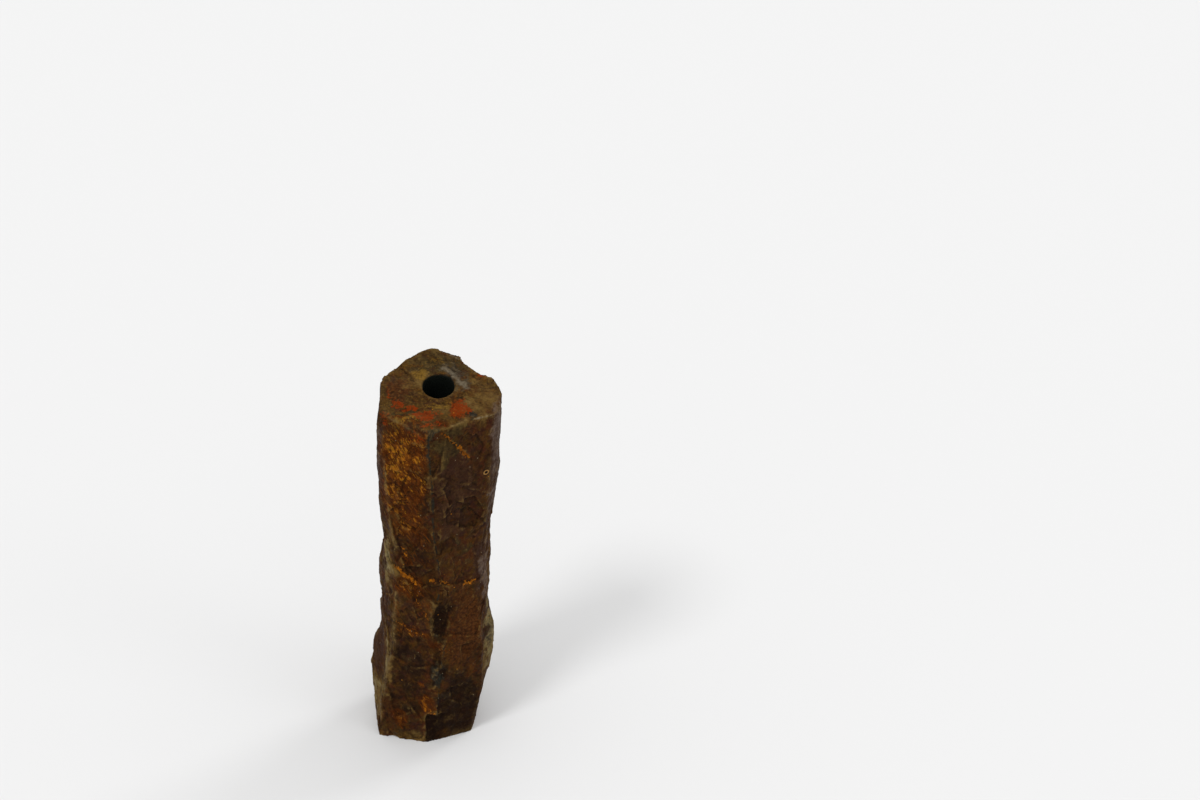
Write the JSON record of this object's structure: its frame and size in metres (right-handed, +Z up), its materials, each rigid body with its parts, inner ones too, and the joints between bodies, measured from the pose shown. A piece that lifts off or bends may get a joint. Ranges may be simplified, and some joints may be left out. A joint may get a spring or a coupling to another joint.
{
  "type": "basalt column",
  "caption": "Natural basalt column that stands on a flat sawn base, with a broken top and an upright water bore drilled right through it, for a garden fountain or as a bare accent stone.",
  "frame": {"origin": "centre of the bounding box at the flat base, on the axis of the water bore", "axes": "+Z up along the column and the bore, -Y towards the front corner, +X to the right when it is seen from the front"},
  "size_m": [0.2075, 0.2079, 0.6731],
  "materials": {
    "weathered_basalt": "weathered, rust-stained, faintly satin"
  },
  "bodies": {
    "root": {"basalt_column": "weathered_basalt"}
  },
  "joints": []
}
